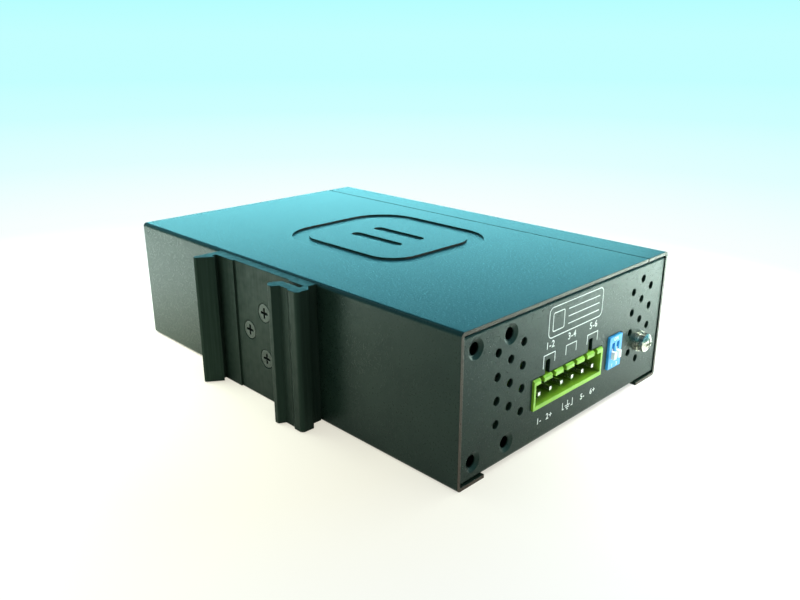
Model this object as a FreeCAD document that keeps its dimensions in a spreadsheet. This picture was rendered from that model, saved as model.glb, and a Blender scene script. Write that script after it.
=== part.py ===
import FreeCAD, Part
import Sketcher
import os
import re

# A managed switch in a folded steel case for a 35 mm DIN rail, lying on its side.
# X runs along the case's height on the rail, from the far end (-X) to the power end (+X).
# Y runs from the rail (-Y) to the ports (+Y), and Z across the case's width.
# The origin is the middle of the seat where the rail's face rests on the clip.

SIZES = {
    # case
    "case_length": 146.5,
    "case_depth": 95.6,
    "case_width": 41.0,
    "steel": 1.0,            # sheet thickness
    "inner_bend": 0.2,       # inner radius of the folds
    "nest_gap": 0.1,         # between sheets that lie on each other
    "seam_gap": 0.5,         # open seam between cover and front panel
    "end_inset": 0.3,        # end walls behind the cover's cut edges
    "rear_flange": 10.0,     # cover's return under the chassis
    "front_flange": 11.6,    # front panel's returns, above and below
    "end_flange": 8.0,       # chassis returns under the cover
    "tongue": 5.0,           # joggled lip of the front panel under the cover
    # bead pressed into the cover
    "bead_long": 56.0,
    "bead_wide": 50.0,
    "bead_band": 5.5,
    "bead_corner": 15.0,
    "bead_depth": 0.45,
    "rib_long": 22.0,
    "rib_wide": 3.6,
    "rib_pitch": 10.0,
    # clip for the rail
    "rail_from_power_end": 76.7,
    "rail_width": 35.0,
    "clip_plate": 2.75,
    "clip_pad": 0.55,
    "clip_end_gap": 0.3,     # clip shorter than the case at each end
    "rail_slot": 1.65,       # room for the rail's flange under the lips
    "fixed_wall": 2.8,
    "fixed_lip": 1.7,
    "fixed_tall": 6.6,
    "fixed_pad": 8.6,
    "fixed_bevel": 0.75,     # outer corner and nose of the fixed hook
    "lip_edge": 0.75,        # tip of its lip
    "pad_past_rail": 0.5,    # raised pad beyond the rail's edge
    "deep_slot": 7.5,        # past the rail's edge
    "deep_lip": 2.8,
    "deep_lip_reach": 1.4,
    "deep_wall": 3.1,
    "deep_root": 2.2,        # wall leans in by this much at the plate
    "deep_lead": 1.5,        # bevel that guides the rail in
    "deep_nose": 2.1,
    "deep_flare": 2.0,       # flared tip over the valley
    "flare_wide": 2.9,
    "valley_start": 4.0,     # valley in the lip's outer side
    "valley_wide": 3.4,
    "ridge_rise": 0.6,
    "shoulder_round": 1.2,
    "tip_round": 0.5,
    "clip_screw_x": 4.9,
    "clip_screw_back": 7.8,
    "clip_screw_z": 7.1,
    # countersunk and pan screws
    "screw_head": 5.6,
    "screw_shank": 3.0,
    "screw_long": 6.5,
    "head_angle_depth": 1.5,
    "screw_hole": 3.4,
    "head_below": 0.05,      # flush heads under their surface
    "thread_gap": 0.05,      # round a shank in its nut
    "cross_wide": 0.7,
    "cross_long": 3.2,
    "cross_deep": 1.0,
    "nut_across": 6.0,
    "nut_thick": 2.0,
    "case_screw_head": 4.4,
    "case_screw_shank": 2.4,
    "case_screw_hole": 2.6,
    "case_screw_long": 3.6,
    "case_screw_out": 52.0,  # from the case's middle
    "head_clearance": 0.1,
    "case_cross_wide": 0.5,
    "case_cross_long": 2.4,
    "case_cross_deep": 0.7,
    # power end
    "bracket_hole": 3.2,
    "bracket_rim": 5.4,
    "bracket_first": 5.6,
    "bracket_pitch": 13.1,
    "bracket_low": 6.1,
    "bracket_rise": 29.4,
    "bracket_dish": 0.6,
    "vent_hole": 2.4,
    "vent_pitch": 5.0,
    "vent_rise": 6.35,
    "vent_low": 13.0,
    "vent_rear": 14.05,
    "vent_front": 77.3,
    # terminal header
    "header_mid": 45.2,
    "header_ends": 2.1,      # header longer than its six pitches
    "header_tall": 8.6,
    "header_deep": 12.0,
    "header_proud": 0.6,
    "header_side": 0.8,
    "header_floor": 1.2,
    "header_roof": 1.5,
    "header_cavity": 8.6,
    "header_notch": 1.5,
    "header_notch_deep": 1.8,
    "header_lead_in": 0.5,   # bevel of the notched rim
    "header_key": 1.0,       # ribs on the cavity's floor, between the pins
    "header_key_rise": 0.5,
    "header_key_short": 2.5, # ribs behind the header's mouth
    "pin_pitch": 5.08,
    "pin_thick": 1.0,
    "pin_rise": 3.6,         # middle of the pins over the board
    "pin_short": 0.9,        # pin tips behind the header's mouth
    "pin_tail": 2.0,         # pins below the board
    "pin_back": 3.0,         # legs of the pins behind the header
    "key_slot_wide": 2.0,
    "key_slot_rise": 4.1,
    "window_gap": 0.25,
    # two-way slide switch block
    "dip_mid": 68.5,
    "dip_long": 6.7,
    "dip_tall": 9.9,
    "dip_deep": 4.2,
    "dip_proud": 0.65,
    "dip_pitch": 2.54,
    "dip_slot_wide": 1.5,
    "dip_slot_low": 2.9,     # slots over the block's lower edge
    "dip_slot_tall": 5.0,
    "dip_slot_deep": 2.2,
    "dip_travel": 2.0,
    "slider_gap": 0.1,
    "slider_deep": 1.6,
    "slider_proud": 1.0,
    "slider_step": 0.4,      # slider's foot below the block's face
    "slider_knob": 0.8,      # knob's share of the slider's height
    "lead_thick": 0.3,
    "lead_wide": 0.5,
    "lead_first": 1.0,       # legs behind the block
    "lead_row": 2.54,
    "lead_low": 1.2,
    "lead_rise": 7.5,
    # ground screw
    "ground_y": 83.0,
    "ground_z": 15.3,
    "ground_head": 5.6,
    "ground_head_tall": 2.8,
    "ground_crown": 4.2,     # radius of the head's crown
    "ground_shank": 3.0,
    "ground_long": 7.5,
    "washer_wide": 6.4,
    "washer_thick": 0.5,
    "star_wide": 6.2,
    "star_thick": 0.6,
    "star_notch": 0.9,
    "star_root": 0.36,       # notches of the star washer, narrow end and wide end
    "star_mouth": 1.24,
    "star_teeth": 10,
    # main board
    "board_top": 11.2,
    "board_thick": 1.6,
    "board_margin": 3.0,
    "standoff_across": 5.0,
    "standoff_inset": 7.0,
    "standoff_floor": 1.5,   # solid foot under the standoff's bore
    "post_from_power": 12.0,
    "post_from_rear": 2.0,
    "post_from_front": 30.0,
    "board_hole": 3.2,
    "board_screw_head": 1.8,
    "board_screw_long": 5.0,
    "leg_gap": 0.3,          # round a lead's leg in the board
    # jack block, two rows of four
    "jack_pitch": 14.0,
    "jack_row_rise": 12.6,
    "jack_tall": 26.6,
    "jack_deep": 25.0,
    "jack_from_far": 18.0,
    "jack_wall": 1.2,
    "jack_proud": 0.3,
    "port_wide": 11.8,
    "port_tall": 7.0,
    "port_deep": 13.5,
    "latch_wide": 6.2,
    "latch_tall": 1.7,
    "port_low": 3.0,
    "latch_short": 2.0,      # latch groove ends before the port does
    "mouth_gap": 0.2,        # shield's windows wider than the ports
    "shield": 0.25,
    "shield_gap": 0.05,
    "contact_pitch": 1.02,
    "contact_thick": 0.35,
    "contact_front": 3.0,
    "contact_back": 11.0,
    "contact_foot": 0.05,
    "contact_rise": 2.2,
    # indicator lamps: rectangular light pipes in two rows
    "lamp_count": 6,
    "lamp_pitch": 7.0,
    "lamp_first": 96.0,
    "lamp_wide": 3.0,
    "lamp_tall": 2.0,
    "lamp_gap": 0.2,         # round a lamp in its window
    "lamp_low": 3.2,
    "lamp_rise": 6.0,
    "lamp_proud": 0.6,
    "holder_wide": 4.6,
    "holder_tall": 12.4,
    "holder_deep": 6.0,
    "holder_back": 0.6,      # holders behind the panel
    # heat sink
    "sink_overlap": 1.0,     # heat sink wider than the chip, each side
    "sink_tall": 10.2,
    "sink_base": 2.0,
    "sink_fins": 8,
    "fin_thick": 1.2,
    # capacitors
    "can_radius": 4.0,
    "can_tall": 12.5,
    "can_pitch": 10.5,
    "can_from_middle": 19.0,
    "can_from_rear": 11.5,
    "can_count": 3,
}

# What stands on the board: from the case's middle, from the rear face, then long, wide and tall.
ON_BOARD = {
    "switch_chip": (-31.0, 34.0, 20.0, 20.0, 1.8),
    "power_module": (5.0, 17.0, 26.0, 20.0, 9.0),
    "alarm_relay": (36.0, 63.0, 10.0, 15.5, 11.5),
    "power_inductor": (8.0, 44.0, 12.0, 12.0, 7.5),
    "fuse": (39.0, 22.0, 10.0, 3.4, 3.2),
    "crystal": (-5.0, 40.0, 5.0, 11.0, 3.6),
    "line_transformer": (-55.0, 57.5, 12.5, 7.0, 5.5),
}
for part_name, part_sizes in ON_BOARD.items():
    for key, value in zip(("x", "y", "long", "wide", "tall"), part_sizes):
        SIZES[f"{part_name}_{key}"] = value

# Places worked out from the sizes, as formulas.
PLACES = {
    "bend": "inner_bend + steel",
    "power_face": "rail_from_power_end",
    "far_face": "rail_from_power_end - case_length",
    "rear_face": "clip_plate + clip_pad",
    "front_face": "clip_plate + clip_pad + case_depth",
    "base_face": "-case_width / 2",
    "top_face": "case_width / 2",
    "case_mid_x": "rail_from_power_end - case_length / 2",
    "case_mid_y": "rear_face + case_depth / 2",
    "seam": "front_face - front_flange",
    "power_wall": "power_face - end_inset",
    "far_wall": "far_face + end_inset",
    "chassis_base": "base_face + steel + nest_gap",
    "chassis_floor": "base_face + 2 * steel + nest_gap",
    "chassis_top": "top_face - steel - nest_gap",
    "chassis_rear": "rear_face + steel + nest_gap",
    "chassis_front": "front_face - steel - nest_gap",
    "board_face": "base_face + board_top",
    "board_base": "board_face - board_thick",
    "board_far": "far_wall + board_margin",
    "board_power": "power_wall - steel - 0.4",
    "board_rear": "rear_face + board_margin + 3",
    "board_front": "front_face - steel - 1",
    "header_y": "rear_face + header_mid",
    "header_long": "6 * pin_pitch + header_ends",
    "header_face": "power_wall + header_proud",
    "header_back": "header_face - header_deep",
    "header_base": "board_face",
    "header_top": "board_face + header_tall",
    "pin_z": "board_face + pin_rise",
    "pin_leg": "header_back - pin_back",
    "dip_y": "rear_face + dip_mid",
    "dip_face": "power_wall + dip_proud",
    "dip_base": "board_face + 0.1",
    "dip_back": "dip_face - dip_deep",
    "slot_low": "dip_base + dip_slot_low",
    "slider_tall": "dip_slot_tall - dip_travel - 2 * slider_gap",
    "ground_at_y": "rear_face + ground_y",
    "ground_at_z": "base_face + ground_z",
    "ground_seat": "power_wall + washer_thick + star_thick",
    "ground_top": "ground_seat + ground_head_tall",
    "deep_end": "rail_width / 2 + deep_slot",
    "deep_out": "deep_end + deep_wall",
    "deep_top": "-(rail_slot + deep_lip)",
    "deep_tip": "rail_width / 2 - deep_lip_reach",
    "fixed_in": "-rail_width / 2",
    "fixed_out": "-rail_width / 2 - fixed_wall",
    "jack_far": "far_face + jack_from_far",
    "jack_long": "4 * jack_pitch + 2 * jack_wall",
    "jack_face": "front_face + jack_proud",
    "jack_back": "jack_face - jack_deep",
    "jack_base": "board_face + shield + shield_gap",
    "jack_top": "jack_base + jack_tall",
    "holder_face": "front_face - steel - holder_back",
}

doc = FreeCAD.newDocument("din_rail_switch")
sheet = doc.addObject("Spreadsheet::Sheet", "Sizes")
for row, (alias, value) in enumerate(SIZES.items(), start=1):
    sheet.set(f"A{row}", alias)
    sheet.set(f"B{row}", str(value))
    sheet.setAlias(f"B{row}", alias)
doc.recompute()

WORD = re.compile(r"[a-z][a-z_0-9]*")
PLANE = {"Z": "XY_Plane", "Y": "XZ_Plane", "X": "YZ_Plane"}
nodes = []


# ---- helpers: formulas ----

def bound(formula):
    """A formula in plain names, as an expression on the sheet's cells."""
    def swap(match):
        word = match.group(0)
        if word in PLACES:
            return "(" + bound(PLACES[word]) + ")"
        if word in SIZES:
            return "Sizes." + word
        return word
    return WORD.sub(swap, str(formula))


def number(formula):
    return float(sheet.evalExpression(bound(formula)))


def node(made, label):
    """Mark a finished piece as a node of the assembly."""
    made.Label = label
    nodes.append(made)
    return made


# ---- helpers: sketches and PartDesign features ----

def new_body(name):
    return doc.addObject("PartDesign::Body", name)


def new_sketch(body, name, normal, level):
    """A sketch across one axis, at a place along it. The XZ plane faces -Y."""
    made = body.newObject("Sketcher::SketchObject", name)
    plane = next(f for f in body.Origin.OriginFeatures if f.Role == PLANE[normal])
    made.AttachmentSupport = [(plane, "")]
    made.MapMode = "FlatFace"
    facing = f"-({level})" if normal == "Y" else level
    made.setExpression("AttachmentOffset.Base.z", bound(facing))
    return made


def pin_point(sketch, edge, end, across, up):
    """Hold one end of an edge at a place given by two formulas."""
    for kind, formula in (("DistanceX", across), ("DistanceY", up)):
        index = sketch.addConstraint(Sketcher.Constraint(kind, -1, 1, edge, end, number(formula)))
        sketch.setExpression(f"Constraints[{index}]", bound(formula))


def outline(sketch, points):
    """A closed outline of straight edges."""
    places = [FreeCAD.Vector(number(across), number(up), 0) for across, up in points]
    first = sketch.GeometryCount
    count = len(points)
    for i in range(count):
        sketch.addGeometry(Part.LineSegment(places[i], places[(i + 1) % count]))
    for i in range(count):
        sketch.addConstraint(Sketcher.Constraint("Coincident", first + i, 2, first + (i + 1) % count, 1))
        pin_point(sketch, first + i, 1, *points[i])


def rectangle(sketch, low, high):
    outline(sketch, [low, (high[0], low[1]), high, (low[0], high[1])])


def circle(sketch, across, up, radius):
    centre = FreeCAD.Vector(number(across), number(up), 0)
    made = sketch.addGeometry(Part.Circle(centre, FreeCAD.Vector(0, 0, 1), number(radius)))
    pin_point(sketch, made, 3, across, up)
    index = sketch.addConstraint(Sketcher.Constraint("Radius", made, number(radius)))
    sketch.setExpression(f"Constraints[{index}]", bound(radius))


def pad(body, sketch, length):
    made = body.newObject("PartDesign::Pad", sketch.Name + "_pad")
    made.Profile = sketch
    made.setExpression("Length", bound(length))
    doc.recompute()
    return made


def pocket(body, sketch, length):
    """Cut a sketch into the body, away from the way its plane faces."""
    before = body.Shape.Volume
    made = body.newObject("PartDesign::Pocket", sketch.Name + "_pocket")
    made.Profile = sketch
    made.setExpression("Length", bound(length))
    doc.recompute()
    if body.Shape.Volume > before - 1e-6:
        raise RuntimeError(f"{made.Name} cuts nothing")
    return made


def cone_cut(body, name, normal, across, up, level, radii, height):
    """A countersink: a cone from the first radius at the level to the second beyond it."""
    made = body.newObject("PartDesign::SubtractiveCone", name)
    plane = next(f for f in body.Origin.OriginFeatures if f.Role == PLANE[normal])
    made.AttachmentSupport = [(plane, "")]
    made.MapMode = "FlatFace"
    facing = f"-({level})" if normal == "Y" else level
    for key, formula in zip("xyz", (across, up, facing)):
        made.setExpression("AttachmentOffset.Base." + key, bound(formula))
    made.setExpression("Radius1", bound(radii[0]))
    made.setExpression("Radius2", bound(radii[1]))
    made.setExpression("Height", bound(height))
    doc.recompute()


def round_edges(body, name, axis, places, radius):
    """Round the straight edges that run along an axis through the given places."""
    others = [key for key in "XYZ" if key != axis]
    corners = [(number(across), number(up)) for across, up in places]
    base = body.Tip
    found = []
    for index, edge in enumerate(base.Shape.Edges, start=1):
        ends = [(getattr(v.Point, others[0].lower()), getattr(v.Point, others[1].lower()))
                for v in (edge.Vertexes[0], edge.Vertexes[-1])]
        for corner in corners:
            if all(abs(end[0] - corner[0]) + abs(end[1] - corner[1]) < 1e-4 for end in ends):
                found.append(f"Edge{index}")
    if len(found) < len(corners):
        raise RuntimeError(f"{name} finds {len(found)} of {len(corners)} edges")
    made = body.newObject("PartDesign::Fillet", name)
    made.Base = (base, found)
    made.setExpression("Radius", bound(radius))
    doc.recompute()


# ---- helpers: Part primitives ----

TURN = {
    "X": FreeCAD.Rotation(FreeCAD.Vector(0, 1, 0), 90),
    "Y": FreeCAD.Rotation(FreeCAD.Vector(1, 0, 0), -90),
    "Z": FreeCAD.Rotation(),
}


def move_to(made, place):
    for key, formula in zip("xyz", place):
        made.setExpression("Placement.Base." + key, bound(formula))


def block(name, low, high):
    made = doc.addObject("Part::Box", name)
    for side, start, end in zip(("Length", "Width", "Height"), low, high):
        made.setExpression(side, bound(f"({end}) - ({start})"))
    move_to(made, low)
    return made


def rod(name, axis, start, radius, length):
    made = doc.addObject("Part::Cylinder", name)
    made.Placement.Rotation = TURN[axis]
    made.setExpression("Radius", bound(radius))
    made.setExpression("Height", bound(length))
    move_to(made, start)
    return made


def cone(name, axis, start, radii, length):
    made = doc.addObject("Part::Cone", name)
    made.Placement.Rotation = TURN[axis]
    made.setExpression("Radius1", bound(radii[0]))
    made.setExpression("Radius2", bound(radii[1]))
    made.setExpression("Height", bound(length))
    move_to(made, start)
    return made


def hexagon(name, axis, start, across, length):
    made = doc.addObject("Part::Prism", name)
    made.Polygon = 6
    made.Placement.Rotation = TURN[axis]
    made.setExpression("Circumradius", bound(f"({across}) / 2 / cos(30)"))
    made.setExpression("Height", bound(length))
    move_to(made, start)
    return made


def fused(name, pieces):
    made = doc.addObject("Part::MultiFuse", name)
    made.Shapes = pieces
    return made


def cut(name, base, tools):
    made = doc.addObject("Part::Cut", name)
    made.Base = base
    made.Tool = tools[0] if len(tools) == 1 else fused(name + "_tools", tools)
    return made


def group(name, pieces):
    made = doc.addObject("Part::Compound", name)
    made.Links = pieces
    return made


# ---- where things repeat ----

CLIP_SCREWS = [
    ("clip_screw_x", "clip_screw_z"),
    ("clip_screw_x", "-clip_screw_z"),
    ("clip_screw_x - clip_screw_back", "0"),
]
REAR_CASE_SCREWS = [(f"case_mid_x {side} case_screw_out", "rear_face + rear_flange / 2") for side in "-+"]
FRONT_CASE_SCREWS = [(f"case_mid_x {side} case_screw_out", "front_face - front_flange / 2") for side in "-+"]
BRACKET_HOLES = [
    (f"rear_face + bracket_first + {column} * bracket_pitch",
     f"base_face + bracket_low + {row} * bracket_rise")
    for column in (0, 1)
    for row in (0, 1)
]

# Vents at the power end stand in groups of three columns. The middle column's rows differ.
VENT_ROWS = (0, 1, 2, 3)
VENT_GROUPS = {"vent_rear": (0, 1, 2), "vent_front": (-1, 1, 2, 3)}
FAR_VENTS = [
    (f"case_mid_y + ({column}) * vent_pitch", f"base_face + vent_low + {row} * vent_rise")
    for column in (-1, 0, 1)
    for row in (0.5, 1.5)
]


def vent_places():
    """Power-end vents, with the middle column of each group half a row up."""
    places = []
    for start, middle_rows in VENT_GROUPS.items():
        for column in (0, 1, 2):
            rows = [row + 0.5 for row in middle_rows] if column == 1 else VENT_ROWS
            for row in rows:
                places.append((f"rear_face + {start} + {column} * vent_pitch",
                               f"base_face + vent_low + ({row}) * vent_rise"))
    return places


# ---- case ----

def make_chassis():
    """Floor, two end walls and their returns, folded from one sheet."""
    body = new_body("chassis_body")
    profile = new_sketch(body, "chassis_profile", "Y", "chassis_front")
    outline(profile, [
        ("far_wall + end_flange", "chassis_top"),
        ("far_wall", "chassis_top"),
        ("far_wall", "chassis_base"),
        ("power_wall", "chassis_base"),
        ("power_wall", "chassis_top"),
        ("power_wall - end_flange", "chassis_top"),
        ("power_wall - end_flange", "chassis_top - steel"),
        ("power_wall - steel", "chassis_top - steel"),
        ("power_wall - steel", "chassis_floor"),
        ("far_wall + steel", "chassis_floor"),
        ("far_wall + steel", "chassis_top - steel"),
        ("far_wall + end_flange", "chassis_top - steel"),
    ])
    pad(body, profile, "chassis_front - chassis_rear")
    round_edges(body, "chassis_outer_folds", "Y",
                [(x, z) for x in ("far_wall", "power_wall") for z in ("chassis_base", "chassis_top")],
                "bend")
    round_edges(body, "chassis_inner_folds", "Y",
                [(x, z) for x in ("far_wall + steel", "power_wall - steel")
                 for z in ("chassis_floor", "chassis_top - steel")], "bend - steel")

    # Windows for the header, with its two key slots, and for the switch block.
    power = new_sketch(body, "power_windows", "X", "power_face")
    header_low = "header_y - header_long / 2 - window_gap"
    header_high = "header_y + header_long / 2 + window_gap"
    rectangle(power, (header_low, "header_base - window_gap"), (header_high, "header_top + window_gap"))
    rectangle(power, ("dip_y - dip_long / 2 - window_gap", "dip_base - window_gap"),
              ("dip_y + dip_long / 2 + window_gap", "dip_base + dip_tall + window_gap"))
    pocket(body, power, "3 * steel")
    for name, side in (("low", "-"), ("high", "+")):
        slot = new_sketch(body, f"key_slot_{name}", "X", "power_face")
        middle = f"header_y {side} 2 * pin_pitch"
        rectangle(slot, (f"{middle} - key_slot_wide / 2", "header_top"),
                  (f"{middle} + key_slot_wide / 2", "header_top + key_slot_rise"))
        pocket(body, slot, "3 * steel")

    # Round holes: vents, bracket holes and the ground screw's hole at the power end, then far vents.
    holes = new_sketch(body, "power_holes", "X", "power_face")
    for across, up in vent_places():
        circle(holes, across, up, "vent_hole / 2")
    for across, up in BRACKET_HOLES:
        circle(holes, across, up, "bracket_hole / 2")
    circle(holes, "ground_at_y", "ground_at_z", "screw_hole / 2")
    pocket(body, holes, "3 * steel")
    for index, (across, up) in enumerate(BRACKET_HOLES):
        cone_cut(body, f"bracket_dish_{index}", "X", across, up, "power_wall - bracket_dish",
                 ("bracket_hole / 2", "bracket_rim / 2"), "bracket_dish")
    far = new_sketch(body, "far_vents", "X", "far_face + 3 * steel")
    for across, up in FAR_VENTS:
        circle(far, across, up, "vent_hole / 2")
    pocket(body, far, "3 * steel")

    floor = new_sketch(body, "floor_holes", "Z", "chassis_floor + 1")
    for across, up in REAR_CASE_SCREWS + FRONT_CASE_SCREWS:
        circle(floor, across, up, "case_screw_hole / 2")
    pocket(body, floor, "3 * steel")
    node(body, "chassis")


def make_cover():
    """Upper side, rear wall and the return under the chassis, folded from one sheet."""
    body = new_body("cover_body")
    profile = new_sketch(body, "cover_profile", "X", "far_face")
    outline(profile, [
        ("rear_face + rear_flange", "base_face"),
        ("rear_face", "base_face"),
        ("rear_face", "top_face"),
        ("seam - seam_gap", "top_face"),
        ("seam - seam_gap", "top_face - steel"),
        ("rear_face + steel", "top_face - steel"),
        ("rear_face + steel", "base_face + steel"),
        ("rear_face + rear_flange", "base_face + steel"),
    ])
    pad(body, profile, "case_length")
    round_edges(body, "cover_outer_folds", "X",
                [("rear_face", "base_face"), ("rear_face", "top_face")], "bend")
    round_edges(body, "cover_inner_folds", "X",
                [("rear_face + steel", "base_face + steel"), ("rear_face + steel", "top_face - steel")],
                "bend - steel")

    # The bead is a closed band with round corners, and two short ribs lie inside it.
    def corners(inset):
        return [(f"case_mid_x {a} (bead_long / 2 - {inset})", f"case_mid_y {b} (bead_wide / 2 - {inset})")
                for a in "-+" for b in "-+"]

    band = new_sketch(body, "bead_band_outline", "Z", "top_face")
    for inset in ("0", "bead_band"):
        low = corners(inset)[0]
        high = corners(inset)[3]
        rectangle(band, low, high)
    pocket(body, band, "bead_depth")
    round_edges(body, "bead_outer_corners", "Z", corners("0"), "bead_corner")
    round_edges(body, "bead_inner_corners", "Z", corners("bead_band"), "bead_corner - bead_band")
    for index, side in enumerate("-+"):
        rib = new_sketch(body, f"rib_{index}", "Z", "top_face")
        middle = f"case_mid_y {side} rib_pitch / 2"
        ends = [(f"case_mid_x {a} rib_long / 2", f"{middle} {b} rib_wide / 2") for a in "-+" for b in "-+"]
        rectangle(rib, ends[0], ends[3])
        pocket(body, rib, "bead_depth")
        round_edges(body, f"rib_ends_{index}", "Z", ends, "rib_wide * 0.49")

    rear = new_sketch(body, "rear_holes", "Y", "rear_face")
    for across, up in CLIP_SCREWS:
        circle(rear, across, up, "screw_hole / 2")
    pocket(body, rear, "2 * steel")
    under = new_sketch(body, "return_holes", "Z", "base_face + 1.5 * steel")
    for across, up in REAR_CASE_SCREWS:
        circle(under, across, up, "case_screw_hole / 2")
    pocket(body, under, "2 * steel")
    for index, (across, up) in enumerate(REAR_CASE_SCREWS):
        cone_cut(body, f"return_sink_{index}", "Z", across, up, "base_face",
                 ("case_screw_head / 2 + head_clearance", "case_screw_hole / 2"), "steel")
    node(body, "cover")


def make_front_panel():
    """Port side, with a return above and below and a joggled tongue under the cover."""
    body = new_body("front_panel_body")
    profile = new_sketch(body, "front_profile", "X", "far_face")
    outline(profile, [
        ("seam", "top_face"),
        ("front_face", "top_face"),
        ("front_face", "base_face"),
        ("front_face - front_flange", "base_face"),
        ("front_face - front_flange", "base_face + steel"),
        ("front_face - steel", "base_face + steel"),
        ("front_face - steel", "top_face - steel"),
        ("seam + steel", "top_face - steel"),
        ("seam + steel", "chassis_top - steel"),
        ("seam - tongue", "chassis_top - steel"),
        ("seam - tongue", "chassis_top"),
        ("seam", "chassis_top"),
    ])
    pad(body, profile, "case_length")
    round_edges(body, "front_outer_folds", "X",
                [("front_face", "base_face"), ("front_face", "top_face")], "bend")
    round_edges(body, "front_inner_folds", "X",
                [("front_face - steel", "base_face + steel"), ("front_face - steel", "top_face - steel")],
                "bend - steel")

    # The tongue stops short of the chassis returns, which lie at its level.
    ends = new_sketch(body, "tongue_ends", "Z", "chassis_top")
    rectangle(ends, ("far_face - 1", "seam - tongue - 1"),
              ("far_wall + end_flange + seam_gap", "seam + 2 * steel"))
    rectangle(ends, ("power_wall - end_flange - seam_gap", "seam - tongue - 1"),
              ("power_face + 1", "seam + 2 * steel"))
    pocket(body, ends, "steel + 0.01")

    face = new_sketch(body, "jack_window", "Y", "front_face - 2 * steel")
    rectangle(face, ("jack_far - shield - window_gap", "jack_base - shield - window_gap"),
              ("jack_far + jack_long + shield + window_gap", "jack_top + shield + window_gap"))
    pocket(body, face, "3 * steel")
    lamps = new_sketch(body, "lamp_holes", "Y", "front_face - 2 * steel")
    for x, z in lamp_places():
        rectangle(lamps, (f"{x} - lamp_wide / 2 - lamp_gap", f"{z} - lamp_tall / 2 - lamp_gap"),
                  (f"{x} + lamp_wide / 2 + lamp_gap", f"{z} + lamp_tall / 2 + lamp_gap"))
    pocket(body, lamps, "3 * steel")

    under = new_sketch(body, "front_return_holes", "Z", "base_face + 1.5 * steel")
    for across, up in FRONT_CASE_SCREWS:
        circle(under, across, up, "case_screw_hole / 2")
    pocket(body, under, "2 * steel")
    for index, (across, up) in enumerate(FRONT_CASE_SCREWS):
        cone_cut(body, f"front_sink_{index}", "Z", across, up, "base_face",
                 ("case_screw_head / 2 + head_clearance", "case_screw_hole / 2"), "steel")
    node(body, "front_panel")


# ---- rail clip ----

def make_din_clip():
    """One aluminium extrusion: plate, shallow fixed hook and deep hook with a flared lip."""
    body = new_body("din_clip_body")
    profile = new_sketch(body, "clip_profile", "Z", "base_face + clip_end_gap")
    valley_end = "deep_tip + valley_start + valley_wide"
    shoulder = ("deep_out", "deep_top - ridge_rise")
    flare_side = ("deep_tip", "deep_top - deep_flare / 2")
    flare_top = ("deep_tip + flare_wide / 2", "deep_top - deep_flare")
    outline(profile, [
        ("fixed_out", "rear_face"),
        ("fixed_out", "-fixed_tall + fixed_bevel"),
        ("fixed_out + fixed_bevel", "-fixed_tall"),
        ("fixed_out + 2 * fixed_bevel", "-fixed_tall + fixed_bevel / 2"),
        ("fixed_in + fixed_lip - lip_edge / 2", "-rail_slot - lip_edge"),
        ("fixed_in + fixed_lip", "-rail_slot"),
        ("fixed_in", "-rail_slot"),
        ("fixed_in", "0"),
        ("fixed_in + fixed_pad", "0"),
        ("fixed_in + fixed_pad", "clip_pad"),
        ("rail_width / 2 + pad_past_rail", "clip_pad"),
        ("rail_width / 2 + pad_past_rail", "0"),
        ("deep_end", "0"),
        ("deep_end", "-rail_slot"),
        ("deep_tip + deep_lead", "-rail_slot"),
        ("deep_tip", "-rail_slot - deep_nose"),
        flare_side,
        flare_top,
        ("deep_tip + flare_wide", "deep_top - deep_flare"),
        ("deep_tip + valley_start", "deep_top"),
        (valley_end, "deep_top"),
        (f"{valley_end} + 2 * ridge_rise", "deep_top - ridge_rise"),
        shoulder,
        ("deep_out", "-rail_slot + ridge_rise"),
        ("deep_out - deep_root", "clip_pad"),
        ("deep_out - deep_root", "rear_face"),
    ])
    pad(body, profile, "case_width - 2 * clip_end_gap")
    round_edges(body, "clip_shoulder", "Z", [shoulder], "shoulder_round")
    round_edges(body, "clip_tip", "Z", [flare_top, flare_side], "tip_round")
    holes = new_sketch(body, "clip_holes", "Y", "0")
    for across, up in CLIP_SCREWS:
        circle(holes, across, up, "screw_hole / 2")
    pocket(body, holes, "rear_face + 1")
    sink = "head_angle_depth + head_clearance"
    for index, (across, up) in enumerate(CLIP_SCREWS):
        cone_cut(body, f"clip_sink_{index}", "Y", across, up, f"clip_pad + {sink}",
                 ("screw_shank / 2", "screw_head / 2 + 2 * head_clearance"), sink)
    node(body, "din_clip")


def sunk_screw(name, axis, start, head, shank, sink, length, cross):
    """A countersunk screw from its head's face, with a cross recess."""
    head_part = cone(name + "_head", axis, start, (f"{head} / 2", f"{shank} / 2"), sink)
    shank_part = rod(name + "_shank", axis, start, f"{shank} / 2", length)
    wide, across, deep = cross
    along = "XYZ".index(axis)
    bars = []
    for bar, sizes in enumerate(((wide, across), (across, wide))):
        low = []
        high = []
        rest = iter(sizes)
        for index, place in enumerate(start):
            if index == along:
                low.append(f"{place} - 0.1")
                high.append(f"{place} + {deep}")
            else:
                half = next(rest)
                low.append(f"{place} - ({half}) / 2")
                high.append(f"{place} + ({half}) / 2")
        bars.append(block(f"{name}_bar_{bar}", low, high))
    return cut(name, fused(name + "_blank", [head_part, shank_part]), bars)


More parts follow.
